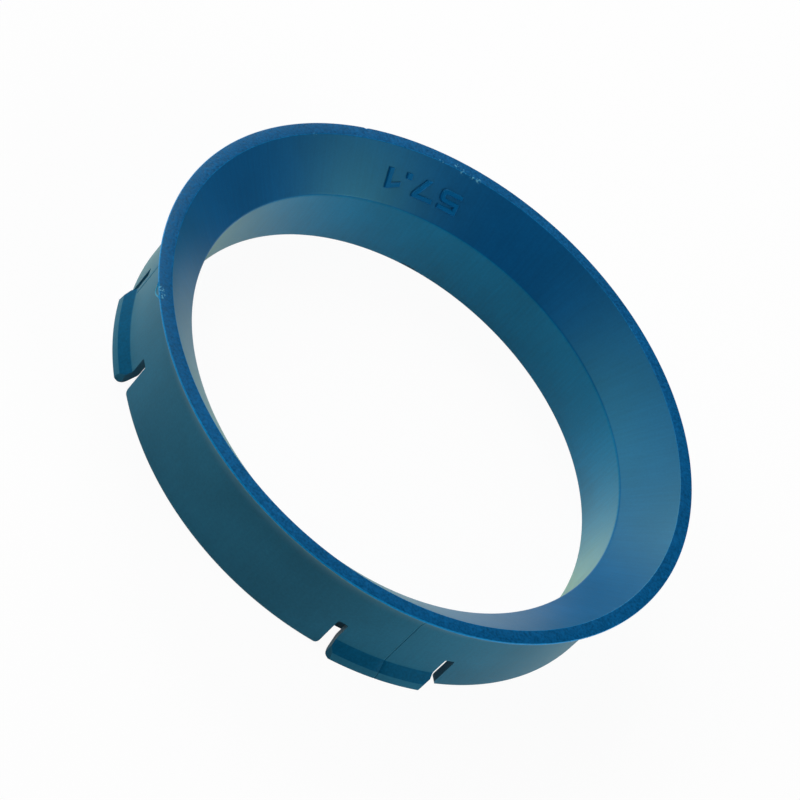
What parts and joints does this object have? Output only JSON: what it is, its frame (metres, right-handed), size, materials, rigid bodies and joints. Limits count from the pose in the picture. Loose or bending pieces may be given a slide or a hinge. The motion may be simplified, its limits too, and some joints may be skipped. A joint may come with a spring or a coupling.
{
  "type": "hub centric ring",
  "caption": "Plastic spigot ring that snaps into a wheel's centre bore and narrows it to the hub, with a wide conical rim and barbed tabs.",
  "frame": {"origin": "centre of the ring in the plane of its back edge, on which it lies", "axes": "+Z along the bore axis towards the wide rim; the middle of one snap tab faces -Y, the others face +X, +Y and -X"},
  "size_m": [0.0706, 0.0706, 0.0132],
  "materials": {
    "blue_plastic": "moulded satin"
  },
  "bodies": {
    "root": {"hub_centric_ring": "blue_plastic"}
  },
  "joints": []
}
